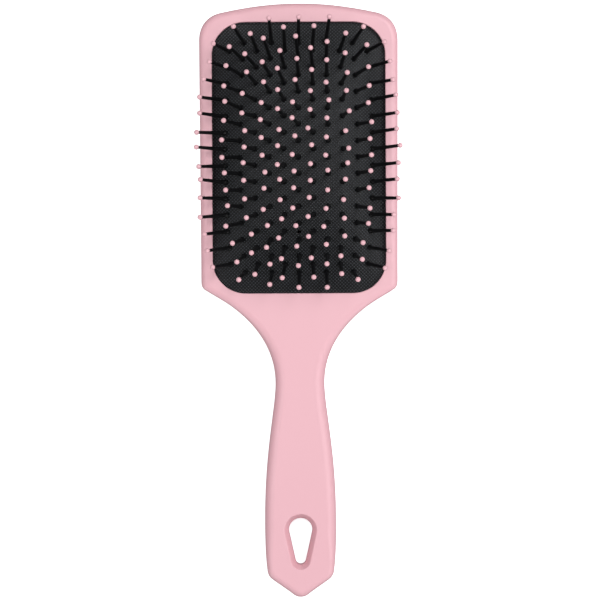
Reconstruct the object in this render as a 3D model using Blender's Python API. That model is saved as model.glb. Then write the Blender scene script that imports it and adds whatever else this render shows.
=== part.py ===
"""Paddle hair brush: a two-shell plastic paddle with a domed rubber cushion and columns of ball-tipped pins.

It lies on its back with the pins up. +Z is up, +Y runs along the handle towards the head, and X is the width.
The origin is on the resting face, at the centre of the whole brush. All sizes are in metres.
"""

import math
import random

import bmesh
import bpy
from mathutils import Matrix, Vector

# Paddle: overall sizes
LENGTH = 0.240
THICKNESS = 0.013
SEAM_Z = 0.006
WALL = 0.002
FACE_WALL = 0.0022
GAP = 0.0003
FRONT_BOTTOM = SEAM_Z + GAP / 2
BACK_TOP = SEAM_Z - GAP / 2
FACE_UNDERSIDE = THICKNESS - FACE_WALL

# Right half of the outline, from the middle of the crown to the tip of the handle:
# (x, y), direction of travel in degrees, handle length before, handle length after
OUTLINE = [
    ((0.0, LENGTH / 2), 0, 0, 0.0110),
    ((0.0315, 0.1163), -12.5, 0.0105, 0.0055),
    ((0.04015, 0.1050), -90, 0.0062, 0.0100),
    ((0.0397, 0.0130), -90, 0.0100, 0.0015),
    ((0.0397, 0.0080), -90, 0.0015, 0.0022),
    ((0.0379, 0.0041), -147, 0.0016, 0.0030),
    ((0.0285, -0.0017), -145, 0.0030, 0.0121),
    ((0.0099, -0.0335), -90, 0.0142, 0.0102),
    ((0.0144, -0.0890), -90, 0.0288, 0.0070),
    ((0.0137, -0.1075), -96, 0.0060, 0.0028),
    ((0.0112, -0.1131), -144, 0.0027, 0.0020),
    ((0.0041, -0.1181), -144, 0.0020, 0.0016),
    ((0.0, -LENGTH / 2), -180, 0.0022, 0),
]
POINTS_PER_STRETCH = [4, 4, 6, 3, 3, 4, 6, 6, 3, 3, 2, 3]

# Edge rounding, as (sideways, downwards): crisp round the head, soft along the handle, crisp at its tip
FRONT_EDGES = ((0.0028, 0.0024), (0.0042, 0.0040), (0.0026, 0.0030))
BACK_EDGES = ((0.0036, 0.0040), (0.0068, 0.0046), (0.0026, 0.0030))
GRIP_STARTS = (0.004, -0.024)
GRIP_ENDS = (-0.092, -0.108)
EDGE_STEPS = 4
CREASE = 0.985  # share of the room inwards that a point may use

# Window for the cushion, and what lies under its lip
WINDOW_CENTRE_Y = 0.0576
WINDOW_HALF = (0.0350, 0.0548)
WINDOW_CORNER = 0.0134
FLANGE_REACH = 0.0013
CUSHION_WALL = 0.0014
FLANGE_TOP = FACE_UNDERSIDE - GAP
FLANGE_BOTTOM = FLANGE_TOP - CUSHION_WALL
RETAINER_TOP = FLANGE_BOTTOM - GAP
RETAINER_BOTTOM = 0.0062
RETAINER_OUTSIDE = 0.0009
RETAINER_INSIDE = 0.0024
CUSHION_CLEAR = 0.0003

# Dome of the cushion: height and the powers that flatten its middle
DOME_HEIGHT = 0.0085
DOME_ACROSS_POWER = 4
DOME_ALONG_POWER = 3
DOME_RIM_POWER = 1.4
DOME_STEPS = (0.0, 0.28, 0.48, 0.62, 0.73, 0.82, 0.89, 0.95, 1.0)
VENT_OFFSET_Y = -0.0301
VENT_RADIUS = 0.0008

# Pins: a staggered field of columns
COLUMNS = 11
LONG_COLUMN_PINS = 15
COLUMN_PITCH = 0.00593
PIN_PITCH = 0.00660
CORNER_PINCH = 0.08
PIN_LENGTH = 0.0170
ROOT_RADIUS = 0.00088
NECK_RADIUS = 0.00068
BALL_RADIUS = 0.00102
PIN_SIDES = 6
LEAN_ACROSS = 0.65
LEAN_ACROSS_POWER = 2.7
LEAN_ALONG = (0.62, 0.41)
LEAN_ALONG_POWER = 1.9
LEAN_FAN = 0.15
LEAN_LEFT = (0.02, 0.10)
LEAN_SCATTER = 0.050
SCATTER_SEED = 11
STRIP_HALF_WIDTH = 0.0017
STRIP_THICKNESS = 0.0009
STRIP_GAP = 0.0007
STRIP_OVERHANG = 0.0018
STRIP_TOP = CUSHION_WALL + STRIP_GAP
STRIP_BOTTOM = STRIP_TOP + STRIP_THICKNESS

# Hanging hole: a teardrop, wide end towards the head, with a bevel at each face as (sideways, depth) steps
HOLE_WIDE = (-0.0929, 0.0047)
HOLE_NARROW = (-0.1049, 0.0021)
HOLE_BEVEL = ((0.0, 0.0038), (0.0002, 0.0030), (0.0016, 0.0006), (0.0018, 0.0002), (0.0021, 0.0))
HOLE_COLLAR = 0.0020

# Inside of the shells
TONGUE_OUTSIDE = 0.0030
TONGUE_INSIDE = 0.0036
TONGUE_TOP = 0.0073
POST_RADIUS = 0.0020
POST_INSET = 0.0004
PEG_RADIUS = 0.0015
PEG_TOP_Z = 0.0090
BOSS_RADIUS = 0.0034
PEG_SPOTS = (-0.016, -0.046, -0.076)
BULKHEAD_Y = -0.0030
BULKHEAD_HALF = (0.0212, 0.0008)

PINK = (0.855, 0.521, 0.571, 1.0)
BLACK_RUBBER = (0.016, 0.018, 0.021, 1.0)
BLACK_NYLON = (0.006, 0.006, 0.008, 1.0)


# ---------------------------------------------------------------- scene and small helpers


def clear_scene():
    for obj in list(bpy.data.objects):
        bpy.data.objects.remove(obj)


def new_collection(name):
    made = bpy.data.collections.new(name)
    bpy.context.scene.collection.children.link(made)
    return made


def material(name, colour, roughness):
    made = bpy.data.materials.new(name)
    made.use_nodes = True
    shader = made.node_tree.nodes["Principled BSDF"]
    shader.inputs["Base Color"].default_value = colour
    shader.inputs["Roughness"].default_value = roughness
    shader.inputs["Metallic"].default_value = 0.0
    return made


def new_object(name, mesh, collection, look=None):
    obj = bpy.data.objects.new(name, mesh)
    collection.objects.link(obj)
    if look:
        mesh.materials.append(look)
    if collection.name == "cutters":
        obj.hide_render = True
        obj.display_type = "WIRE"
    return obj


def mesh_from(bm, name, smooth=True):
    bmesh.ops.recalc_face_normals(bm, faces=bm.faces)
    mesh = bpy.data.meshes.new(name)
    bm.to_mesh(mesh)
    bm.free()
    if smooth:
        mesh.shade_smooth()
        mesh.set_sharp_from_angle(angle=math.radians(35))
    return mesh


def loft(bm, rings, closed=False):
    """Skins rings of points, each the same length. Ends are capped, or the last ring joins the first."""
    loops = [[bm.verts.new(p) for p in ring] for ring in rings]
    pairs = list(zip(loops, loops[1:]))
    if closed:
        pairs.append((loops[-1], loops[0]))
    for low, high in pairs:
        for i, here in enumerate(low):
            after = (i + 1) % len(low)
            bm.faces.new((here, low[after], high[after], high[i]))
    if not closed:
        bm.faces.new(reversed(loops[0]))
        bm.faces.new(loops[-1])


def boolean(obj, other, operation):
    modifier = obj.modifiers.new(operation.lower() + "_" + other.name, "BOOLEAN")
    modifier.operation = operation
    modifier.solver = "EXACT"
    modifier.object = other


def smooth_step(value, start, end):
    t = min(1.0, max(0.0, (value - start) / (end - start)))
    return t * t * (3 - 2 * t)


# ---------------------------------------------------------------- outlines


def half_outline():
    """(point, direction of travel) along the right half, from the crown on, leaving out the tip."""
    places = []
    stretches = zip(OUTLINE, OUTLINE[1:], POINTS_PER_STRETCH)
    for (start, heading, _, out), (end, next_heading, into, _), count in stretches:
        p0, p3 = Vector(start), Vector(end)
        p1 = p0 + out * Vector((math.cos(math.radians(heading)), math.sin(math.radians(heading))))
        turn = math.radians(next_heading)
        p2 = p3 - into * Vector((math.cos(turn), math.sin(turn)))
        for i in range(count):
            t = i / count
            point = (1 - t) ** 3 * p0 + 3 * (1 - t) ** 2 * t * p1 + 3 * (1 - t) * t**2 * p2 + t**3 * p3
            travel = (1 - t) ** 2 * (p1 - p0) + 2 * (1 - t) * t * (p2 - p1) + t**2 * (p3 - p2)
            places.append((point, travel.normalized()))
    return places


def room_inwards(place, normal, points):
    """How far a point can move inwards before it meets what moves in from elsewhere on the outline."""
    room = 1.0
    for other in points:
        towards = other - place
        ahead = normal.dot(towards)
        if ahead > 1e-7:
            room = min(room, towards.length_squared / (2 * ahead))
    return room


def paddle_outline():
    """For each point of the outline, clockwise from above: (point, inward normal, room to move in)."""
    right = half_outline() + [(Vector(OUTLINE[-1][0]), Vector((-1, 0)))]
    left = [(Vector((-p.x, p.y)), Vector((travel.x, -travel.y))) for p, travel in reversed(right[1:-1])]
    places = right + left
    points = [p for p, _ in places]
    outline = []
    for p, travel in places:
        normal = Vector((travel.y, -travel.x))
        outline.append((p, normal, room_inwards(p, normal, points)))
    return outline


def moved_in(place, distance):
    """A point of the outline moved inwards, but not past the crease where the outline would fold over."""
    p, normal, room = place
    return p + normal * min(distance, CREASE * room)


def edge_size(edges, y):
    """How far the rounded edge reaches sideways and downwards at this place along the brush."""
    grip = smooth_step(y, *GRIP_STARTS)
    tip = smooth_step(y, *GRIP_ENDS)
    sizes = []
    for head, middle, end in zip(*edges):
        sizes.append((head + (middle - head) * grip) * (1 - tip) + end * tip)
    return sizes


PADDLE = paddle_outline()


def window_outline(grow, steps=5):
    """Counter-clockwise points of the cushion's window, larger all round by grow."""
    radius = WINDOW_CORNER + grow
    points = []
    for quarter, (sx, sy) in enumerate(((1, 1), (-1, 1), (-1, -1), (1, -1))):
        for i in range(steps + 1):
            angle = math.pi / 2 * (quarter + i / steps)
            x = sx * (WINDOW_HALF[0] - WINDOW_CORNER) + radius * math.cos(angle)
            y = sy * (WINDOW_HALF[1] - WINDOW_CORNER) + radius * math.sin(angle)
            points.append(Vector((x, y + WINDOW_CENTRE_Y)))
    return points


def teardrop(grow, steps=7):
    """Points round the hanging hole, larger all round by grow: two arcs joined by their tangents."""
    (wide_y, wide_r), (narrow_y, narrow_r) = HOLE_WIDE, HOLE_NARROW
    tilt = math.asin((wide_r - narrow_r) / (wide_y - narrow_y))
    points = []
    for centre, radius, start, end in (
        (wide_y, wide_r + grow, -tilt, math.pi + tilt),
        (narrow_y, narrow_r + grow, math.pi + tilt, 2 * math.pi - tilt),
    ):
        for i in range(steps + 1):
            angle = start + (end - start) * i / steps
            points.append(Vector((radius * math.cos(angle), centre + radius * math.sin(angle))))
    return points


# ---------------------------------------------------------------- shells


def edge_rings(base_z, face_z, edges, inset=0.0, edge_share=1.0):
    """Rings from base_z to face_z, inset from the outline, that turn inwards along a rounded edge.

    An inset form leaves out the points that have no room to reach its innermost ring.
    """
    up = 1 if face_z > base_z else -1
    places = PADDLE
    if inset:
        places = [(p, n, room) for p, n, room in PADDLE if room > inset + edge_share * edge_size(edges, p.y)[0]]
    rings = [[(*moved_in(place, inset), base_z) for place in places]]
    for step in range(EDGE_STEPS + 1):
        angle = math.pi / 2 * step / EDGE_STEPS
        ring = []
        for place in places:
            across, down = (size * edge_share for size in edge_size(edges, place[0].y))
            spot = moved_in(place, inset + across * (1 - math.cos(angle)))
            ring.append((spot.x, spot.y, face_z - up * down * (1 - math.sin(angle))))
        rings.append(ring)
    return rings


def prism(name, outline, low, high, cutters):
    bm = bmesh.new()
    loft(bm, [[(p.x, p.y, z) for p in outline] for z in (low, high)])
    return new_object(name, mesh_from(bm, name), cutters)


def cylinder(name, x, y, radius, low, high, cutters, sides=12):
    bm = bmesh.new()
    place = Matrix.Translation((x, y, (low + high) / 2))
    bmesh.ops.create_cone(
        bm, cap_ends=True, segments=sides, radius1=radius, radius2=radius, depth=high - low, matrix=place
    )
    return new_object(name, mesh_from(bm, name), cutters)


def offset_ring(inset, z):
    return [(*moved_in(place, inset), z) for place in PADDLE]


def hollow_shell(name, outer_rings, cavity_rings, parts, cutters, look):
    """One half of the paddle: the outer form less the cavity inside it."""
    bm = bmesh.new()
    loft(bm, outer_rings)
    shell = new_object(name, mesh_from(bm, name), parts, look)
    bm = bmesh.new()
    loft(bm, cavity_rings)
    boolean(shell, new_object(name + "_cavity", mesh_from(bm, name), cutters), "DIFFERENCE")
    return shell


def hanging_hole(cutters):
    """A cutter through both shells, wider towards each face."""
    front = [(grow, THICKNESS - depth) for grow, depth in HOLE_BEVEL]
    front.append((HOLE_BEVEL[-1][0], THICKNESS + GAP))
    back = [(grow, THICKNESS - z) for grow, z in reversed(front)]
    bm = bmesh.new()
    loft(bm, [[(p.x, p.y, z) for p in teardrop(grow)] for grow, z in back + front])
    return new_object("hanging_hole", mesh_from(bm, "hanging_hole"), cutters)


def front_shell(parts, cutters, look, hole):
    outer = edge_rings(FRONT_BOTTOM, THICKNESS, FRONT_EDGES)
    cavity = edge_rings(FRONT_BOTTOM - WALL, FACE_UNDERSIDE, FRONT_EDGES, WALL, 0.85)
    shell = hollow_shell("front_shell", outer, cavity, parts, cutters, look)
    window = prism("window", window_outline(0), FACE_UNDERSIDE - WALL, THICKNESS + WALL, cutters)
    boolean(shell, window, "DIFFERENCE")
    middle = FACE_UNDERSIDE + FACE_WALL / 2
    collar = prism("front_collar", teardrop(HOLE_COLLAR), FRONT_BOTTOM, middle, cutters)
    boolean(shell, collar, "UNION")
    for number, y in enumerate(PEG_SPOTS, 1):
        boss = cylinder(f"boss_{number}", 0, y, BOSS_RADIUS, FRONT_BOTTOM, middle, cutters)
        boolean(shell, boss, "UNION")
        top = PEG_TOP_Z + GAP
        bore = cylinder(f"bore_{number}", 0, y, PEG_RADIUS + GAP, BACK_TOP - GAP, top, cutters)
        boolean(shell, bore, "DIFFERENCE")
    boolean(shell, hole, "DIFFERENCE")
    return shell


def post_spots():
    """Places of the posts that hold the retainer up: the middle of its ring, round all four sides."""
    reach_x = WINDOW_HALF[0] - POST_INSET
    reach_y = WINDOW_HALF[1] - POST_INSET
    spots = [(side * reach_x, WINDOW_CENTRE_Y + along) for side in (-1, 1) for along in (-0.030, 0.0, 0.030)]
    spots += [(across, WINDOW_CENTRE_Y + side * reach_y) for side in (-1, 1) for across in (-0.014, 0.014)]
    return spots


def back_shell(parts, cutters, look, hole):
    tongue = [offset_ring(TONGUE_OUTSIDE, z) for z in (TONGUE_TOP, BACK_TOP)]
    outer = tongue + edge_rings(BACK_TOP, 0.0, BACK_EDGES)
    cavity = edge_rings(TONGUE_TOP + WALL, WALL, BACK_EDGES, TONGUE_INSIDE, 0.7)
    shell = hollow_shell("back_shell", outer, cavity, parts, cutters, look)
    middle = WALL / 2
    collar = prism("back_collar", teardrop(HOLE_COLLAR), middle, BACK_TOP, cutters)
    boolean(shell, collar, "UNION")
    for number, (x, y) in enumerate(post_spots(), 1):
        post = cylinder(f"post_{number}", x, y, POST_RADIUS, middle, RETAINER_BOTTOM - GAP, cutters, sides=8)
        boolean(shell, post, "UNION")
    for number, y in enumerate(PEG_SPOTS, 1):
        peg = cylinder(f"peg_{number}", 0, y, PEG_RADIUS, middle, PEG_TOP_Z, cutters)
        boolean(shell, peg, "UNION")
    half_x, half_y = BULKHEAD_HALF
    signs = ((1, 1), (-1, 1), (-1, -1), (1, -1))
    corners = [Vector((sx * half_x, BULKHEAD_Y + sy * half_y)) for sx, sy in signs]
    boolean(shell, prism("bulkhead", corners, middle, BACK_TOP - GAP, cutters), "UNION")
    boolean(shell, hole, "DIFFERENCE")
    return shell


def pad_retainer(parts, look):
    """The flat frame that traps the cushion's flange under the lip of the window."""
    section = (
        (RETAINER_OUTSIDE, RETAINER_BOTTOM),
        (RETAINER_OUTSIDE, RETAINER_TOP),
        (-RETAINER_INSIDE, RETAINER_TOP),
        (-RETAINER_INSIDE, RETAINER_BOTTOM),
    )
    bm = bmesh.new()
    loft(bm, [[(p.x, p.y, z) for p in window_outline(grow)] for grow, z in section], closed=True)
    return new_object("pad_retainer", mesh_from(bm, "pad_retainer"), parts, look)


# ---------------------------------------------------------------- cushion


def dome_surface(x, y, depth=0.0):
    """Point of the cushion's top at (x, y), moved depth into the rubber, along the surface's normal."""

    def height(px, py):
        across = min(1.0, abs(px) / (WINDOW_HALF[0] - CUSHION_CLEAR))
        along = min(1.0, abs(py - WINDOW_CENTRE_Y) / (WINDOW_HALF[1] - CUSHION_CLEAR))
        a = (1 - across**DOME_ACROSS_POWER) ** DOME_RIM_POWER
        b = (1 - along**DOME_ALONG_POWER) ** DOME_RIM_POWER
        return FLANGE_TOP + DOME_HEIGHT * a * b

    small = 1e-5
    slope_x = (height(x + small, y) - height(x - small, y)) / (2 * small)
    slope_y = (height(x, y + small) - height(x, y - small)) / (2 * small)
    normal = Vector((-slope_x, -slope_y, 1)).normalized()
    return Vector((x, y, height(x, y))) - depth * normal


def window_half_width(offset_y):
    """Half the width of the window at this distance from its centre: less where the corners turn."""
    past = abs(offset_y) - (WINDOW_HALF[1] - WINDOW_CORNER)
    if past <= 0:
        return WINDOW_HALF[0]
    return WINDOW_HALF[0] - WINDOW_CORNER + math.sqrt(max(0.0, WINDOW_CORNER**2 - past**2))


def dome_grid():
    """Rows of (x, y) places over the window, closest together where the dome bends most."""
    across = [-step for step in reversed(DOME_STEPS[1:])] + list(DOME_STEPS)
    rows = []
    for along in across:
        offset_y = along * WINDOW_HALF[1]
        half = window_half_width(offset_y)
        shrink_x, shrink_y = 1 - CUSHION_CLEAR / WINDOW_HALF[0], 1 - CUSHION_CLEAR / WINDOW_HALF[1]
        rows.append([(share * half * shrink_x, WINDOW_CENTRE_Y + offset_y * shrink_y) for share in across])
    return rows


def rim_of(grid):
    """The outside of a grid, in order."""
    right = [row[-1] for row in grid[1:-1]]
    left = [row[0] for row in reversed(grid[1:-1])]
    return grid[0] + right + grid[-1][::-1] + left


def cushion_skin(bm, depth):
    """One face of the dome. Returns the loop of points at its rim."""
    grid = [[bm.verts.new(dome_surface(x, y, depth)) for x, y in row] for row in dome_grid()]
    for row, following in zip(grid, grid[1:]):
        for i in range(len(row) - 1):
            bm.faces.new((row[i], row[i + 1], following[i + 1]))
            bm.faces.new((row[i], following[i + 1], following[i]))
    return rim_of(grid)


def flange_place(x, y):
    """The place on the flange's edge that is straight outwards from this place on the rim."""
    inner = Vector((WINDOW_HALF[0] - WINDOW_CORNER, WINDOW_HALF[1] - WINDOW_CORNER))
    away = Vector((max(0.0, abs(x) - inner.x), max(0.0, abs(y - WINDOW_CENTRE_Y) - inner.y)))
    reach = (WINDOW_CORNER + FLANGE_REACH) * away.normalized()
    place_x = min(abs(x), inner.x) + reach.x
    place_y = min(abs(y - WINDOW_CENTRE_Y), inner.y) + reach.y
    return math.copysign(place_x, x), WINDOW_CENTRE_Y + math.copysign(place_y, y - WINDOW_CENTRE_Y)


def cushion(parts, cutters, look, pins):
    """The domed rubber pad with its flat flange, one hole for each pin and the air vent."""
    bm = bmesh.new()
    top = cushion_skin(bm, 0.0)
    under = cushion_skin(bm, CUSHION_WALL)
    flange = [flange_place(x, y) for x, y in rim_of(dome_grid())]
    edge_top = [bm.verts.new((x, y, FLANGE_TOP)) for x, y in flange]
    edge_under = [bm.verts.new((x, y, FLANGE_BOTTOM)) for x, y in flange]
    for inner, outer in ((top, edge_top), (edge_top, edge_under), (edge_under, under)):
        for i, here in enumerate(inner):
            after = (i + 1) % len(inner)
            bm.faces.new((here, inner[after], outer[after], outer[i]))
    pad = new_object("cushion", mesh_from(bm, "cushion"), parts, look)
    bm = bmesh.new()
    for root, direction in pins:
        depth = 4 * CUSHION_WALL
        place = Matrix.Translation(root) @ direction.to_track_quat("Z", "Y").to_matrix().to_4x4()
        radius = ROOT_RADIUS + GAP
        bmesh.ops.create_cone(
            bm, cap_ends=True, segments=PIN_SIDES, radius1=radius, radius2=radius, depth=depth, matrix=place
        )
    vent = Matrix.Translation(dome_surface(0, WINDOW_CENTRE_Y + VENT_OFFSET_Y))
    bmesh.ops.create_cone(
        bm,
        cap_ends=True,
        segments=PIN_SIDES,
        radius1=VENT_RADIUS,
        radius2=VENT_RADIUS,
        depth=4 * CUSHION_WALL,
        matrix=vent,
    )
    boolean(pad, new_object("pin_holes", mesh_from(bm, "pin_holes"), cutters), "DIFFERENCE")
    return pad


# ---------------------------------------------------------------- pins


def pin_field():
    """For each column, the (root on the cushion, direction) of its pins, from the crown to the handle."""
    scatter = random.Random(SCATTER_SEED)
    reach_x = COLUMN_PITCH * (COLUMNS - 1) / 2
    reach_y = PIN_PITCH * (LONG_COLUMN_PINS - 1) / 2
    columns = []
    for column in range(COLUMNS):
        count = LONG_COLUMN_PINS - 1 + column % 2
        straight_x = COLUMN_PITCH * (column - (COLUMNS - 1) / 2)
        pins = []
        for row in range(count):
            offset_y = PIN_PITCH * ((count - 1) / 2 - row)
            u, v = abs(straight_x) / reach_x, abs(offset_y) / reach_y
            x = straight_x * (1 - CORNER_PINCH * v * v)
            root = dome_surface(x, WINDOW_CENTRE_Y + offset_y)
            towards_crown = offset_y / reach_y
            across = LEAN_ACROSS * u**LEAN_ACROSS_POWER * (1 - 0.5 * v**3)
            across += LEAN_FAN * towards_crown * u * (1 - u**4)
            along = LEAN_ALONG[towards_crown < 0] * v**LEAN_ALONG_POWER * (1 - 0.77 * u**2)
            left = (LEAN_LEFT[0] + LEAN_LEFT[1] * (1 - u**2)) * (1 - v**4)
            lean_x = math.copysign(across, straight_x) - left
            lean_y = math.copysign(along, offset_y)
            lean_x += scatter.uniform(-LEAN_SCATTER, LEAN_SCATTER)
            lean_y += scatter.uniform(-LEAN_SCATTER, LEAN_SCATTER)
            up = math.sqrt(1 - lean_x**2 - lean_y**2)
            pins.append((root, Vector((lean_x, lean_y, up))))
        columns.append(pins)
    return columns


def strip_rings(pins):
    """Sections of the strip that joins a column's pins, lying along the underside of the cushion."""
    first, last = pins[0][0], pins[-1][0]
    stations = [(first.x, first.y + STRIP_OVERHANG)]
    stations += [(root.x, root.y) for root, _ in pins]
    stations.append((last.x, last.y - STRIP_OVERHANG))
    rings = []
    for x, y in stations:
        left, right = x - STRIP_HALF_WIDTH, x + STRIP_HALF_WIDTH
        corners = ((left, STRIP_BOTTOM), (right, STRIP_BOTTOM), (right, STRIP_TOP), (left, STRIP_TOP))
        rings.append([dome_surface(edge, y, depth) for edge, depth in corners])
    return rings


def pin_profile():
    """(distance from the cushion's surface, radius) from the strip to the top of the ball."""
    centre = PIN_LENGTH - BALL_RADIUS
    return (
        (-(STRIP_TOP + STRIP_THICKNESS / 2), ROOT_RADIUS),
        (centre - 0.75 * BALL_RADIUS, NECK_RADIUS),
        (centre, BALL_RADIUS),
        (centre + 0.8 * BALL_RADIUS, 0.6 * BALL_RADIUS),
    )


def pin_column(number, pins, parts, cutters, look):
    name = f"pin_column_{number:02d}"
    bm = bmesh.new()
    loft(bm, strip_rings(pins))
    column = new_object(name, mesh_from(bm, name), parts, look)
    bm = bmesh.new()
    for root, direction in pins:
        turn = direction.to_track_quat("Z", "Y").to_matrix()
        rings = []
        for distance, radius in pin_profile():
            angles = [2 * math.pi * side / PIN_SIDES for side in range(PIN_SIDES)]
            offsets = [(radius * math.cos(angle), radius * math.sin(angle), distance) for angle in angles]
            rings.append([root + turn @ Vector(offset) for offset in offsets])
        loft(bm, rings)
    boolean(column, new_object(name + "_pins", mesh_from(bm, name), cutters), "UNION")
    return column


def main():
    clear_scene()
    parts = new_collection("paddle_brush")
    cutters = new_collection("cutters")
    pink = material("pink_plastic", PINK, 0.42)
    rubber = material("black_rubber", BLACK_RUBBER, 0.65)
    nylon = material("black_nylon", BLACK_NYLON, 0.4)
    hole = hanging_hole(cutters)
    front_shell(parts, cutters, pink, hole)
    back_shell(parts, cutters, pink, hole)
    pad_retainer(parts, nylon)
    columns = pin_field()
    cushion(parts, cutters, rubber, [pin for pins in columns for pin in pins])
    for number, pins in enumerate(columns, 1):
        pin_column(number, pins, parts, cutters, nylon)


main()
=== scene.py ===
"""The looks of a paddle hair brush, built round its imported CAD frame.

Everything is in metres, in the frame's own axes: pins up along +Z, head towards +Y, and the back on the
floor at z = 0.
"""

import math
import random

import bmesh
import bpy
from mathutils import Matrix, Vector


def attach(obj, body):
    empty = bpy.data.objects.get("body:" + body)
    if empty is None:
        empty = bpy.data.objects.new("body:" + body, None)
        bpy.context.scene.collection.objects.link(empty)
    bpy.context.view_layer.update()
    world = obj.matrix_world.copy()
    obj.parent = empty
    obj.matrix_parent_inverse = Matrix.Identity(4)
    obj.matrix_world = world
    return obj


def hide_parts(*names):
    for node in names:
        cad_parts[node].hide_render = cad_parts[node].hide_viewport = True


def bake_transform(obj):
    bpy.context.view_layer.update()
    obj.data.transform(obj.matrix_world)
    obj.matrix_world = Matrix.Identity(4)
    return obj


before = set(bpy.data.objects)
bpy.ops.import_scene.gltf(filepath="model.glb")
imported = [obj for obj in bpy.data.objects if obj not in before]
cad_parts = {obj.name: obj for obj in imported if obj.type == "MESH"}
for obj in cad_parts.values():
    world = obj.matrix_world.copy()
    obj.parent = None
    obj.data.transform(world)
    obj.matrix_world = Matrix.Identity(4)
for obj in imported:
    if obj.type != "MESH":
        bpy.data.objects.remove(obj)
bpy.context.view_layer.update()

# ---------------------------------------------------------------- sizes, the same as the CAD part's

LENGTH = 0.240
THICKNESS = 0.013
SEAM_Z = 0.006
WALL = 0.002
FACE_WALL = 0.0022
GAP = 0.0003
FRONT_BOTTOM = SEAM_Z + GAP / 2
BACK_TOP = SEAM_Z - GAP / 2
FACE_UNDERSIDE = THICKNESS - FACE_WALL

# Right half of the outline, from the middle of the crown to the tip of the handle:
# (x, y), direction of travel in degrees, handle length before, handle length after
OUTLINE = [
    ((0.0, LENGTH / 2), 0, 0, 0.0110),
    ((0.0315, 0.1163), -12.5, 0.0105, 0.0055),
    ((0.04015, 0.1050), -90, 0.0062, 0.0100),
    ((0.0397, 0.0130), -90, 0.0100, 0.0015),
    ((0.0397, 0.0080), -90, 0.0015, 0.0022),
    ((0.0379, 0.0041), -147, 0.0016, 0.0030),
    ((0.0285, -0.0017), -145, 0.0030, 0.0121),
    ((0.0099, -0.0335), -90, 0.0142, 0.0102),
    ((0.0144, -0.0890), -90, 0.0288, 0.0070),
    ((0.0137, -0.1075), -96, 0.0060, 0.0028),
    ((0.0112, -0.1131), -144, 0.0027, 0.0020),
    ((0.0041, -0.1181), -144, 0.0020, 0.0016),
    ((0.0, -LENGTH / 2), -180, 0.0022, 0),
]
POINTS_PER_STRETCH = [18, 22, 14, 6, 14, 12, 28, 26, 18, 12, 10, 14]

FRONT_EDGES = ((0.0028, 0.0024), (0.0042, 0.0040), (0.0026, 0.0030))
BACK_EDGES = ((0.0036, 0.0040), (0.0068, 0.0046), (0.0026, 0.0030))
GRIP_STARTS = (0.004, -0.024)
GRIP_ENDS = (-0.092, -0.108)
EDGE_STEPS = 12
CREASE = 0.985  # share of the room inwards that a point may use
FRONT_CAVITY_EDGE = 0.85  # size of the cavity's rounded edge, as a share of the outer one
BACK_CAVITY_EDGE = 0.7

WINDOW_CENTRE_Y = 0.0576
WINDOW_HALF = (0.0350, 0.0548)
WINDOW_CORNER = 0.0134
LIP_ROUNDING = 0.00035
FLANGE_REACH = 0.0013
CUSHION_WALL = 0.0014
FLANGE_TOP = FACE_UNDERSIDE - GAP
FLANGE_BOTTOM = FLANGE_TOP - CUSHION_WALL
CUSHION_CLEAR = 0.0003
DOME_HEIGHT = 0.0085
DOME_ACROSS_POWER = 4
DOME_ALONG_POWER = 3
DOME_RIM_POWER = 1.4
DOME_CELLS = (96, 144)
DOME_CROWDING = 0.45  # how much closer together the cells are towards the rim, from 0 to 1
VENT_OFFSET_Y = -0.0301
VENT_RADIUS = 0.0008
HOLE_RADIUS = 0.00078
HOLE_SIDES = 12

COLUMNS = 11
LONG_COLUMN_PINS = 15
COLUMN_PITCH = 0.00593
PIN_PITCH = 0.00660
CORNER_PINCH = 0.08
PIN_LENGTH = 0.0170
BALL_RADIUS = 0.00102
LEAN_ACROSS = 0.65
LEAN_ACROSS_POWER = 2.7
LEAN_ACROSS_LOSS = 0.5  # share lost at the ends of a column
LEAN_ALONG = (0.62, 0.41)
LEAN_ALONG_POWER = 1.9
LEAN_ALONG_LOSS = 0.77  # share lost in the outer columns
LEAN_FAN = 0.15
LEAN_LEFT = (0.02, 0.10)
LEAN_SCATTER = 0.050
SCATTER_SEED = 11
PIN_SIDES = 20
BALL_RINGS = 12
BALL_TURNS = (-62, 84)  # degrees up from the ball's middle, where its rings start and end

# (distance from the rubber's surface, radius) up a pin: flange under the rubber, neck, round root, shank
PIN_PROFILE = (
    (-0.00255, 0.00125),
    (-0.00245, 0.00150),
    (-0.00195, 0.00155),
    (-0.00175, 0.00140),
    (-0.00168, 0.00075),
    (-0.00150, 0.00066),
    (-0.00020, 0.00066),
    (0.00005, 0.00090),
    (0.00030, 0.00108),
    (0.00062, 0.00114),
    (0.00098, 0.00108),
    (0.00135, 0.00092),
    (0.00175, 0.00082),
    (0.00260, 0.00078),
    (0.00800, 0.00073),
    (0.01300, 0.00067),
    (0.01480, 0.00064),
    (0.01540, 0.00064),
)

HOLE_WIDE = (-0.0929, 0.0047)
HOLE_NARROW = (-0.1049, 0.0021)
HOLE_BEVEL = ((0.0, 0.0038), (0.0002, 0.0030), (0.0016, 0.0006), (0.0018, 0.0002), (0.0021, 0.0))
HOLE_COLLAR = 0.0020
TONGUE_OUTSIDE = 0.0030
TONGUE_INSIDE = 0.0036
TONGUE_TOP = 0.0073

# ---------------------------------------------------------------- looks

PINK = (0.800, 0.462, 0.515)
PINK_SHADE = (0.780, 0.440, 0.494)
TIP_PINK = (0.800, 0.470, 0.520)
# Knurl base colours: painted shade in the grooves; on the boss tops, the rubber's cool dark tone lightened
# by a painted highlight
RUBBER_GROOVE_PAINTED_SHADE = (0.0006, 0.0007, 0.0009)
RUBBER_TOP_TONE_AND_PAINTED_LIGHT = (0.0385, 0.0430, 0.0520)
NYLON = (0.0035, 0.0035, 0.0042)
RETAINER = (0.020, 0.020, 0.022)
KNURL_PITCH = 0.0014
KNURL_DEPTH = 0.00012
KNURL_ROUGHNESS = (0.43, 0.49)
KNURL_GLOSS = 0.14  # how much less rough the top of a boss is
RUBBER_SPECULAR = 0.25

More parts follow.
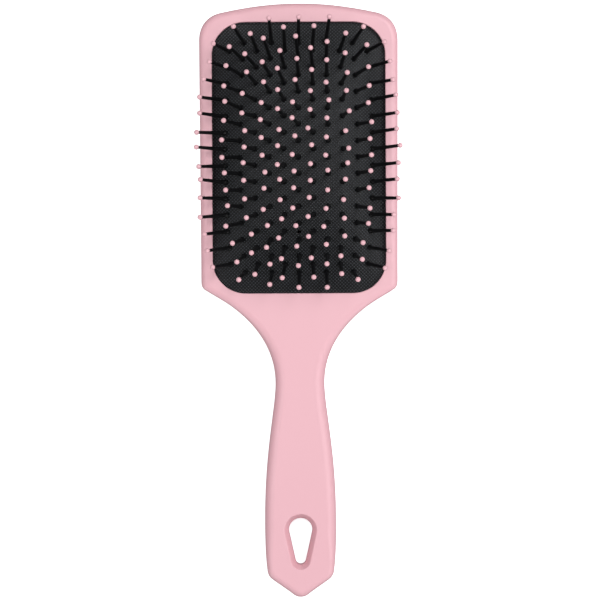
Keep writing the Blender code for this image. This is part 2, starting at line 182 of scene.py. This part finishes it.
# Roughness from and to
SHELL_ROUGHNESS = (0.36, 0.44)
TIP_ROUGHNESS = (0.42, 0.48)
NYLON_ROUGHNESS = (0.30, 0.40)
RETAINER_ROUGHNESS = (0.45, 0.60)

# Noise cells per metre, and the height of the moulded grain
COLOUR_DRIFT = 22
GLOSS_DRIFT = 60
WEAR_DRIFT = 40
GRAIN = 2600
GRAIN_HEIGHT = 0.00001
FINE_GRAIN_HEIGHT = 0.000004

# Colour sockets of a Mix node, which share their names with its number sockets
MIX_FIRST, MIX_SECOND, MIX_RESULT = 6, 7, 2

# Lights: azimuth and elevation in degrees, and power in watts
SOFTBOX_SIZE = 0.5
SOFTBOX_DISTANCE = 1.1
SOFTBOX_TARGET = (0, 0.03, 0.01)
SOFTBOXES = {
    "key_softbox": (45, 60, 5.5),
    "left_softbox": (180, 56, 2.4),
    "right_softbox": (352, 46, 2.8),
    "top_softbox": (90, 86, 1.3),
    "front_left_fill": (225, 12, 2.6),
    "front_right_fill": (315, 12, 2.8),
}
ROOM_LIGHT = 0.26

FLOOR_SIZE = 2.0
FLOOR_DROP = 0.0001
FLOOR_GREY = 0.9
FLOOR_ROUGHNESS = 0.9
FLOOR_SPECULAR = 0.1
FLOOR_GLOW = 0.8

CAMERA_HEIGHT = 1.2
CAMERA_PLACE = (0.00016, 0.00008)
CAMERA_ROLL = -0.27
FRAMED_HEIGHT = 0.010
FRAMED_WIDTH = 0.2428
SENSOR = 36.0
CLIP = (0.05, 10)


# ---------------------------------------------------------------- small helpers


def smooth_step(value, start, end):
    t = min(1.0, max(0.0, (value - start) / (end - start)))
    return t * t * (3 - 2 * t)


def loft(bm, rings):
    """Skins rings of points, each the same length, and caps both ends."""
    loops = [[bm.verts.new(p) for p in ring] for ring in rings]
    for low, high in zip(loops, loops[1:]):
        for i, here in enumerate(low):
            after = (i + 1) % len(low)
            bm.faces.new((here, low[after], high[after], high[i]))
    bm.faces.new(reversed(loops[0]))
    bm.faces.new(loops[-1])


def turned(bm, root, direction, profile, sides):
    """A closed round solid about a pin's axis."""
    turn = direction.to_track_quat("Z", "Y").to_matrix()
    rings = []
    for distance, radius in profile:
        angles = [2 * math.pi * side / sides for side in range(sides)]
        ring = [Vector((radius * math.cos(a), radius * math.sin(a), distance)) for a in angles]
        rings.append([root + turn @ point for point in ring])
    loft(bm, rings)


def new_object(name, bm):
    bmesh.ops.recalc_face_normals(bm, faces=bm.faces)
    mesh = bpy.data.meshes.new(name)
    bm.to_mesh(mesh)
    bm.free()
    obj = bpy.data.objects.new(name, mesh)
    bpy.context.scene.collection.objects.link(obj)
    return obj


def finish_surface(obj, look, sharp_angle=35, weighted=True):
    obj.data.shade_smooth()
    obj.data.set_sharp_from_angle(angle=math.radians(sharp_angle))
    obj.data.materials.clear()
    obj.data.materials.append(look)
    if weighted:
        even = obj.modifiers.new("even_normals", "WEIGHTED_NORMAL")
        even.keep_sharp = True
        even.weight = 100


def cut(obj, cutter, operation="DIFFERENCE"):
    """Applies a Boolean and throws the cutter away."""
    modifier = obj.modifiers.new("cut", "BOOLEAN")
    modifier.operation = operation
    modifier.solver = "EXACT"
    modifier.object = cutter
    graph = bpy.context.evaluated_depsgraph_get()
    mesh = bpy.data.meshes.new_from_object(obj.evaluated_get(graph))
    obj.modifiers.clear()
    obj.data = mesh
    bpy.data.objects.remove(cutter)


# ---------------------------------------------------------------- outlines


def half_outline():
    """(point, direction of travel) along the right half, from the crown on, leaving out the tip."""
    places = []
    stretches = zip(OUTLINE, OUTLINE[1:], POINTS_PER_STRETCH)
    for (start, heading, _, out), (end, next_heading, into, _), count in stretches:
        p0, p3 = Vector(start), Vector(end)
        p1 = p0 + out * Vector((math.cos(math.radians(heading)), math.sin(math.radians(heading))))
        turn = math.radians(next_heading)
        p2 = p3 - into * Vector((math.cos(turn), math.sin(turn)))
        for i in range(count):
            t = i / count
            point = (1 - t) ** 3 * p0 + 3 * (1 - t) ** 2 * t * p1 + 3 * (1 - t) * t**2 * p2 + t**3 * p3
            travel = (1 - t) ** 2 * (p1 - p0) + 2 * (1 - t) * t * (p2 - p1) + t**2 * (p3 - p2)
            places.append((point, travel.normalized()))
    return places


def room_inwards(place, normal, points):
    """How far a point can move inwards before it meets what moves in from elsewhere on the outline."""
    room = 1.0
    for other in points:
        towards = other - place
        ahead = normal.dot(towards)
        if ahead > 1e-7:
            room = min(room, towards.length_squared / (2 * ahead))
    return room


def paddle_outline():
    """For each point of the outline, clockwise from above: (point, inward normal, room to move in)."""
    right = half_outline() + [(Vector(OUTLINE[-1][0]), Vector((-1, 0)))]
    left = [(Vector((-p.x, p.y)), Vector((travel.x, -travel.y))) for p, travel in reversed(right[1:-1])]
    places = right + left
    points = [p for p, _ in places]
    outline = []
    for p, travel in places:
        normal = Vector((travel.y, -travel.x))
        outline.append((p, normal, room_inwards(p, normal, points)))
    return outline


def moved_in(place, distance):
    """A point of the outline moved inwards, but not past the crease where the outline would fold over."""
    p, normal, room = place
    return p + normal * min(distance, CREASE * room)


def edge_size(edges, y):
    """How far the rounded edge reaches sideways and downwards at this place along the brush."""
    grip = smooth_step(y, *GRIP_STARTS)
    tip = smooth_step(y, *GRIP_ENDS)
    sizes = []
    for head, middle, end in zip(*edges):
        sizes.append((head + (middle - head) * grip) * (1 - tip) + end * tip)
    return sizes


PADDLE = paddle_outline()


def window_outline(grow, steps=24):
    radius = WINDOW_CORNER + grow
    points = []
    for quarter, (sx, sy) in enumerate(((1, 1), (-1, 1), (-1, -1), (1, -1))):
        for i in range(steps + 1):
            angle = math.pi / 2 * (quarter + i / steps)
            x = sx * (WINDOW_HALF[0] - WINDOW_CORNER) + radius * math.cos(angle)
            y = sy * (WINDOW_HALF[1] - WINDOW_CORNER) + radius * math.sin(angle)
            points.append(Vector((x, y + WINDOW_CENTRE_Y)))
    return points


def teardrop(grow, steps=28):
    """Points round the hanging hole, larger all round by grow: two arcs joined by their tangents."""
    (wide_y, wide_r), (narrow_y, narrow_r) = HOLE_WIDE, HOLE_NARROW
    tilt = math.asin((wide_r - narrow_r) / (wide_y - narrow_y))
    points = []
    for centre, radius, start, end in (
        (wide_y, wide_r + grow, -tilt, math.pi + tilt),
        (narrow_y, narrow_r + grow, math.pi + tilt, 2 * math.pi - tilt),
    ):
        for i in range(steps + 1):
            angle = start + (end - start) * i / steps
            points.append(Vector((radius * math.cos(angle), centre + radius * math.sin(angle))))
    return points


# ---------------------------------------------------------------- shells


def edge_rings(base_z, face_z, edges, inset=0.0, edge_share=1.0):
    """Rings from base_z to face_z, inset from the outline, that turn inwards along a rounded edge.

    An inset form leaves out the points that have no room to reach its innermost ring.
    """
    up = 1 if face_z > base_z else -1
    places = PADDLE
    if inset:
        reaches = [inset + edge_share * edge_size(edges, p.y)[0] for p, _, _ in PADDLE]
        places = [place for place, reach in zip(PADDLE, reaches) if place[2] > reach]
    rings = [[(*moved_in(place, inset), base_z) for place in places]]
    for step in range(EDGE_STEPS + 1):
        angle = math.pi / 2 * step / EDGE_STEPS
        ring = []
        for place in places:
            across, down = (size * edge_share for size in edge_size(edges, place[0].y))
            spot = moved_in(place, inset + across * (1 - math.cos(angle)))
            ring.append((spot.x, spot.y, face_z - up * down * (1 - math.sin(angle))))
        rings.append(ring)
    return rings


def offset_ring(inset, z):
    return [(*moved_in(place, inset), z) for place in PADDLE]


def solid(name, rings):
    bm = bmesh.new()
    loft(bm, rings)
    return new_object(name, bm)


def quarter_round(radius, steps=6):
    """(sideways, downwards) steps round a quarter circle, from the wall to the face."""
    turns = [math.pi / 2 * i / steps for i in range(steps + 1)]
    return [(radius * (1 - math.cos(turn)), radius * (1 - math.sin(turn))) for turn in turns]


def hanging_hole():
    front = [(grow, THICKNESS - depth) for grow, depth in HOLE_BEVEL]
    front.append((HOLE_BEVEL[-1][0], THICKNESS + GAP))
    back = [(grow, THICKNESS - z) for grow, z in reversed(front)]
    return solid("hole_cutter", [[(p.x, p.y, z) for p in teardrop(grow)] for grow, z in back + front])


def window_cutter():
    rings = [(0.0, FACE_UNDERSIDE - WALL)]
    rings += [(grow, THICKNESS - depth) for grow, depth in quarter_round(LIP_ROUNDING)]
    rings.append((LIP_ROUNDING, THICKNESS + GAP))
    return solid("window_cutter", [[(p.x, p.y, z) for p in window_outline(grow)] for grow, z in rings])


def collar(low, high):
    return solid("collar", [[(p.x, p.y, z) for p in teardrop(HOLE_COLLAR)] for z in (low, high)])


def front_shell(look):
    shell = solid("front_shell_skin", edge_rings(FRONT_BOTTOM, THICKNESS, FRONT_EDGES))
    cavity = edge_rings(FRONT_BOTTOM - WALL, FACE_UNDERSIDE, FRONT_EDGES, WALL, FRONT_CAVITY_EDGE)
    cut(shell, solid("cavity", cavity))
    cut(shell, window_cutter())
    cut(shell, collar(FRONT_BOTTOM, FACE_UNDERSIDE + FACE_WALL / 2), "UNION")
    cut(shell, hanging_hole())
    finish_surface(shell, look)
    return shell


def back_shell(look):
    tongue = [offset_ring(TONGUE_OUTSIDE, z) for z in (TONGUE_TOP, BACK_TOP)]
    shell = solid("back_shell_skin", tongue + edge_rings(BACK_TOP, 0.0, BACK_EDGES))
    cavity = edge_rings(TONGUE_TOP + WALL, WALL, BACK_EDGES, TONGUE_INSIDE, BACK_CAVITY_EDGE)
    cut(shell, solid("cavity", cavity))
    cut(shell, collar(WALL / 2, BACK_TOP), "UNION")
    cut(shell, hanging_hole())
    finish_surface(shell, look)
    return shell


# ---------------------------------------------------------------- cushion


def dome_height(x, y):
    across = min(1.0, abs(x) / (WINDOW_HALF[0] - CUSHION_CLEAR))
    along = min(1.0, abs(y - WINDOW_CENTRE_Y) / (WINDOW_HALF[1] - CUSHION_CLEAR))
    a = (1 - across**DOME_ACROSS_POWER) ** DOME_RIM_POWER
    b = (1 - along**DOME_ALONG_POWER) ** DOME_RIM_POWER
    return FLANGE_TOP + DOME_HEIGHT * a * b


def dome_surface(x, y, depth=0.0):
    """Point of the cushion's top at (x, y), moved depth into the rubber, along the surface's normal."""
    small = 1e-5
    slope_x = (dome_height(x + small, y) - dome_height(x - small, y)) / (2 * small)
    slope_y = (dome_height(x, y + small) - dome_height(x, y - small)) / (2 * small)
    normal = Vector((-slope_x, -slope_y, 1)).normalized()
    return Vector((x, y, dome_height(x, y))) - depth * normal


def window_half_width(offset_y):
    """Half the width of the window at this distance from its centre: less where the corners turn."""
    past = abs(offset_y) - (WINDOW_HALF[1] - WINDOW_CORNER)
    if past <= 0:
        return WINDOW_HALF[0]
    return WINDOW_HALF[0] - WINDOW_CORNER + math.sqrt(max(0.0, WINDOW_CORNER**2 - past**2))


def spaced(cells):
    """Steps from -1 to 1, closer together towards both ends."""
    steps = [2 * i / cells - 1 for i in range(cells + 1)]
    return [(1 - DOME_CROWDING) * step + DOME_CROWDING * math.sin(math.pi / 2 * step) for step in steps]


def dome_grid():
    rows = []
    for along in spaced(DOME_CELLS[1]):
        offset_y = along * WINDOW_HALF[1]
        half = window_half_width(offset_y)
        shrink_x, shrink_y = 1 - CUSHION_CLEAR / WINDOW_HALF[0], 1 - CUSHION_CLEAR / WINDOW_HALF[1]
        y = WINDOW_CENTRE_Y + offset_y * shrink_y
        rows.append([(share * half * shrink_x, y) for share in spaced(DOME_CELLS[0])])
    return rows


def rim_of(grid):
    right = [row[-1] for row in grid[1:-1]]
    left = [row[0] for row in reversed(grid[1:-1])]
    return grid[0] + right + grid[-1][::-1] + left


def cushion_skin(bm, places, depth):
    grid = [[bm.verts.new(dome_surface(x, y, depth)) for x, y in row] for row in places]
    for row, following in zip(grid, grid[1:]):
        for i in range(len(row) - 1):
            bm.faces.new((row[i], row[i + 1], following[i + 1], following[i]))
    return rim_of(grid)


def flange_place(x, y):
    """The place on the flange's edge that is straight outwards from this place on the rim."""
    inner = Vector((WINDOW_HALF[0] - WINDOW_CORNER, WINDOW_HALF[1] - WINDOW_CORNER))
    away = Vector((max(0.0, abs(x) - inner.x), max(0.0, abs(y - WINDOW_CENTRE_Y) - inner.y)))
    reach = (WINDOW_CORNER + FLANGE_REACH) * away.normalized()
    place_x = min(abs(x), inner.x) + reach.x
    place_y = min(abs(y - WINDOW_CENTRE_Y), inner.y) + reach.y
    return math.copysign(place_x, x), WINDOW_CENTRE_Y + math.copysign(place_y, y - WINDOW_CENTRE_Y)


def pad_holes(columns):
    """Round cutters, one for the neck of each pin and one for the air vent."""
    vent = (dome_surface(0, WINDOW_CENTRE_Y + VENT_OFFSET_Y), Vector((0, 0, 1)))
    bm = bmesh.new()
    for root, direction in [pin for pins in columns for pin in pins]:
        turned(bm, root, direction, [(side * 2 * CUSHION_WALL, HOLE_RADIUS) for side in (-1, 1)], HOLE_SIDES)
    turned(bm, *vent, [(side * 2 * CUSHION_WALL, VENT_RADIUS) for side in (-1, 1)], 2 * HOLE_SIDES)
    return new_object("pad_holes", bm)


def cushion(look, columns):
    """The domed rubber with its flange, a hole for each pin's neck and the air vent."""
    bm = bmesh.new()
    places = dome_grid()
    top = cushion_skin(bm, places, 0.0)
    under = cushion_skin(bm, places, CUSHION_WALL)
    flange = [flange_place(x, y) for x, y in rim_of(places)]
    edge_top = [bm.verts.new((x, y, FLANGE_TOP)) for x, y in flange]
    edge_under = [bm.verts.new((x, y, FLANGE_BOTTOM)) for x, y in flange]
    for inner, outer in ((top, edge_top), (edge_top, edge_under), (edge_under, under)):
        for i, here in enumerate(inner):
            after = (i + 1) % len(inner)
            bm.faces.new((here, inner[after], outer[after], outer[i]))
    pad = new_object("cushion_rubber", bm)
    cut(pad, pad_holes(columns))
    finish_surface(pad, look, sharp_angle=50, weighted=False)
    return pad


# ---------------------------------------------------------------- pins


def pin_field():
    """For each column, the (root on the cushion, direction) of its pins, from the crown to the handle."""
    scatter = random.Random(SCATTER_SEED)
    reach_x = COLUMN_PITCH * (COLUMNS - 1) / 2
    reach_y = PIN_PITCH * (LONG_COLUMN_PINS - 1) / 2
    columns = []
    for column in range(COLUMNS):
        count = LONG_COLUMN_PINS - 1 + column % 2
        straight_x = COLUMN_PITCH * (column - (COLUMNS - 1) / 2)
        pins = []
        for row in range(count):
            offset_y = PIN_PITCH * ((count - 1) / 2 - row)
            u, v = abs(straight_x) / reach_x, abs(offset_y) / reach_y
            x = straight_x * (1 - CORNER_PINCH * v * v)
            root = dome_surface(x, WINDOW_CENTRE_Y + offset_y)
            towards_crown = offset_y / reach_y
            across = LEAN_ACROSS * u**LEAN_ACROSS_POWER * (1 - LEAN_ACROSS_LOSS * v**3)
            across += LEAN_FAN * towards_crown * u * (1 - u**4)
            along = LEAN_ALONG[towards_crown < 0] * v**LEAN_ALONG_POWER * (1 - LEAN_ALONG_LOSS * u**2)
            left = (LEAN_LEFT[0] + LEAN_LEFT[1] * (1 - u**2)) * (1 - v**4)
            lean_x = math.copysign(across, straight_x) - left
            lean_y = math.copysign(along, offset_y)
            lean_x += scatter.uniform(-LEAN_SCATTER, LEAN_SCATTER)
            lean_y += scatter.uniform(-LEAN_SCATTER, LEAN_SCATTER)
            up = math.sqrt(1 - lean_x**2 - lean_y**2)
            pins.append((root, Vector((lean_x, lean_y, up))))
        columns.append(pins)
    return columns


def ball_profile():
    centre = PIN_LENGTH - BALL_RADIUS
    start, end = (math.radians(turn) for turn in BALL_TURNS)
    turns = [start + (end - start) * i / BALL_RINGS for i in range(BALL_RINGS + 1)]
    return [(centre + BALL_RADIUS * math.sin(turn), BALL_RADIUS * math.cos(turn)) for turn in turns]


def pin_pieces(number, pins, nylon, tip_look):
    shanks, tips = bmesh.new(), bmesh.new()
    for root, direction in pins:
        turned(shanks, root, direction, PIN_PROFILE, PIN_SIDES)
        turned(tips, root, direction, ball_profile(), PIN_SIDES)
    shank = new_object(f"pin_shanks_{number:02d}", shanks)
    tip = new_object(f"pin_tips_{number:02d}", tips)
    finish_surface(shank, nylon, sharp_angle=60, weighted=False)
    finish_surface(tip, tip_look, sharp_angle=60, weighted=False)
    return shank, tip


# ---------------------------------------------------------------- materials


class Nodes:
    """A short way to build a node tree."""

    def __init__(self, name):
        self.material = bpy.data.materials.new(name)
        self.material.use_nodes = True
        self.tree = self.material.node_tree
        self.shader = self.tree.nodes["Principled BSDF"]

    def add(self, kind, **values):
        node = self.tree.nodes.new(kind)
        for name, value in values.items():
            setattr(node, name, value)
        return node

    def link(self, source, target):
        self.tree.links.new(source, target)

    def math(self, operation, first, second=None):
        node = self.add("ShaderNodeMath", operation=operation)
        for socket, value in zip(node.inputs, (first, second)):
            if value is None:
                continue
            if isinstance(value, bpy.types.NodeSocket):
                self.link(value, socket)
            else:
                socket.default_value = value
        return node.outputs[0]

    def noise(self, coordinates, scale, detail=2.0):
        node = self.add("ShaderNodeTexNoise")
        node.inputs["Scale"].default_value = scale
        node.inputs["Detail"].default_value = detail
        self.link(coordinates, node.inputs["Vector"])
        return node.outputs["Fac"]

    def between(self, factor, first, second):
        """A colour between two, by factor."""
        node = self.add("ShaderNodeMix", data_type="RGBA")
        self.link(factor, node.inputs["Factor"])
        node.inputs[MIX_FIRST].default_value = (*first, 1)
        node.inputs[MIX_SECOND].default_value = (*second, 1)
        return node.outputs[MIX_RESULT]

    def ranged(self, factor, low, high):
        node = self.add("ShaderNodeMapRange")
        self.link(factor, node.inputs["Value"])
        node.inputs["To Min"].default_value = low
        node.inputs["To Max"].default_value = high
        return node.outputs["Result"]

    def bump(self, height, distance):
        node = self.add("ShaderNodeBump")
        node.inputs["Distance"].default_value = distance
        self.link(height, node.inputs["Height"])
        self.link(node.outputs["Normal"], self.shader.inputs["Normal"])

    def object_place(self):
        return self.add("ShaderNodeTexCoord").outputs["Object"]


def moulded_plastic(name, colour, shade, roughness, grain=GRAIN_HEIGHT):
    """Satin plastic: a colour that drifts a little, and a fine moulded grain."""
    nodes = Nodes(name)
    place = nodes.object_place()
    drift = nodes.between(nodes.noise(place, COLOUR_DRIFT), colour, shade)
    nodes.link(drift, nodes.shader.inputs["Base Color"])
    gloss = nodes.ranged(nodes.noise(place, GLOSS_DRIFT), *roughness)
    nodes.link(gloss, nodes.shader.inputs["Roughness"])
    nodes.bump(nodes.noise(place, GRAIN, 1.0), grain)
    return nodes.material


def knurled_rubber():
    """Dull rubber with a diamond knurl: bosses between crossed grooves, a little shinier on their tops. Its
    base colour paints shade into the grooves and a painted highlight onto the tops of the bosses.
    """
    nodes = Nodes("knurled_rubber")
    place = nodes.object_place()
    apart = nodes.add("ShaderNodeSeparateXYZ")
    nodes.link(place, apart.inputs[0])
    x, y = apart.outputs["X"], apart.outputs["Y"]
    ridges = []
    for diagonal in (nodes.math("ADD", x, y), nodes.math("SUBTRACT", x, y)):
        wave = nodes.math("SINE", nodes.math("MULTIPLY", diagonal, 2 * math.pi / KNURL_PITCH))
        ridges.append(nodes.math("ADD", nodes.math("MULTIPLY", wave, 0.5), 0.5))
    bosses = nodes.math("MULTIPLY", ridges[0], ridges[1])
    nodes.bump(bosses, KNURL_DEPTH)
    # base colour follows the bosses: painted shade in the grooves, painted highlight on the boss tops
    nodes.link(nodes.between(bosses, RUBBER_GROOVE_PAINTED_SHADE, RUBBER_TOP_TONE_AND_PAINTED_LIGHT), nodes.shader.inputs["Base Color"])
    nodes.shader.inputs["Specular IOR Level"].default_value = RUBBER_SPECULAR
    worn = nodes.ranged(nodes.noise(place, WEAR_DRIFT), *KNURL_ROUGHNESS)
    rough = nodes.math("ADD", worn, nodes.math("MULTIPLY", bosses, -KNURL_GLOSS))
    nodes.link(rough, nodes.shader.inputs["Roughness"])
    return nodes.material


# ---------------------------------------------------------------- stage


def floor():
    bm = bmesh.new()
    below = Matrix.Translation((0, 0, -FLOOR_DROP))
    bmesh.ops.create_grid(bm, x_segments=1, y_segments=1, size=FLOOR_SIZE, matrix=below)
    plane = new_object("floor", bm)
    nodes = Nodes("pale_floor")
    nodes.shader.inputs["Base Color"].default_value = (FLOOR_GREY, FLOOR_GREY, FLOOR_GREY, 1)
    nodes.shader.inputs["Roughness"].default_value = FLOOR_ROUGHNESS
    nodes.shader.inputs["Specular IOR Level"].default_value = FLOOR_SPECULAR
    nodes.shader.inputs["Emission Color"].default_value = (1, 1, 1, 1)
    nodes.shader.inputs["Emission Strength"].default_value = FLOOR_GLOW
    plane.data.materials.append(nodes.material)
    plane.visible_diffuse = plane.visible_glossy = False


def softbox(name, azimuth, elevation, power):
    """A square light at that bearing from the brush, facing it.

    Azimuth 0 is to the right and 90 beyond the head.
    """
    turn, lift = math.radians(azimuth), math.radians(elevation)
    level = math.cos(lift)
    away = Vector((level * math.cos(turn), level * math.sin(turn), math.sin(lift)))
    light = bpy.data.lights.new(name, "AREA")
    light.shape = "SQUARE"
    light.size = SOFTBOX_SIZE
    light.energy = power
    obj = bpy.data.objects.new(name, light)
    bpy.context.scene.collection.objects.link(obj)
    obj.location = Vector(SOFTBOX_TARGET) + SOFTBOX_DISTANCE * away
    obj.rotation_euler = (-away).to_track_quat("-Z", "Y").to_euler()


def lighting():
    world = bpy.data.worlds.new("studio")
    bpy.context.scene.world = world
    world.use_nodes = True
    background = world.node_tree.nodes["Background"]
    background.inputs["Color"].default_value = (1, 1, 1, 1)
    background.inputs["Strength"].default_value = ROOM_LIGHT
    for name, (azimuth, elevation, power) in SOFTBOXES.items():
        softbox(name, azimuth, elevation, power)


def camera():
    data = bpy.data.cameras.new("camera")
    data.sensor_width = SENSOR
    data.lens = SENSOR * (CAMERA_HEIGHT - FRAMED_HEIGHT) / FRAMED_WIDTH
    data.clip_start, data.clip_end = CLIP
    obj = bpy.data.objects.new("camera", data)
    bpy.context.scene.collection.objects.link(obj)
    obj.location = (*CAMERA_PLACE, CAMERA_HEIGHT)
    obj.rotation_euler = (0, 0, math.radians(CAMERA_ROLL))
    bpy.context.scene.camera = obj


# ---------------------------------------------------------------- assembly


def main():
    pink = moulded_plastic("pink_plastic", PINK, PINK_SHADE, SHELL_ROUGHNESS)
    tip_look = moulded_plastic("pink_tips", TIP_PINK, TIP_PINK, TIP_ROUGHNESS, FINE_GRAIN_HEIGHT)
    nylon = moulded_plastic("black_nylon", NYLON, NYLON, NYLON_ROUGHNESS, FINE_GRAIN_HEIGHT)
    retainer = moulded_plastic("retainer_plastic", RETAINER, NYLON, RETAINER_ROUGHNESS)
    rubber = knurled_rubber()

    for build, node in ((front_shell, "front_shell"), (back_shell, "back_shell")):
        shell = build(pink)
        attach(shell, "paddle")
        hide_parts(node)

    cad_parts["pad_retainer"].data.materials.clear()
    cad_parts["pad_retainer"].data.materials.append(retainer)

    columns = pin_field()
    pad = cushion(rubber, columns)
    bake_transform(pad)
    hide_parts("cushion")

    for number, pins in enumerate(columns, 1):
        shank, tip = pin_pieces(number, pins, nylon, tip_look)
        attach(shank, f"column_{number:02d}")
        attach(tip, f"column_{number:02d}")
        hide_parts(f"pin_column_{number:02d}")

    floor()
    lighting()
    camera()
    bpy.context.scene.view_settings.view_transform = "Standard"


main()
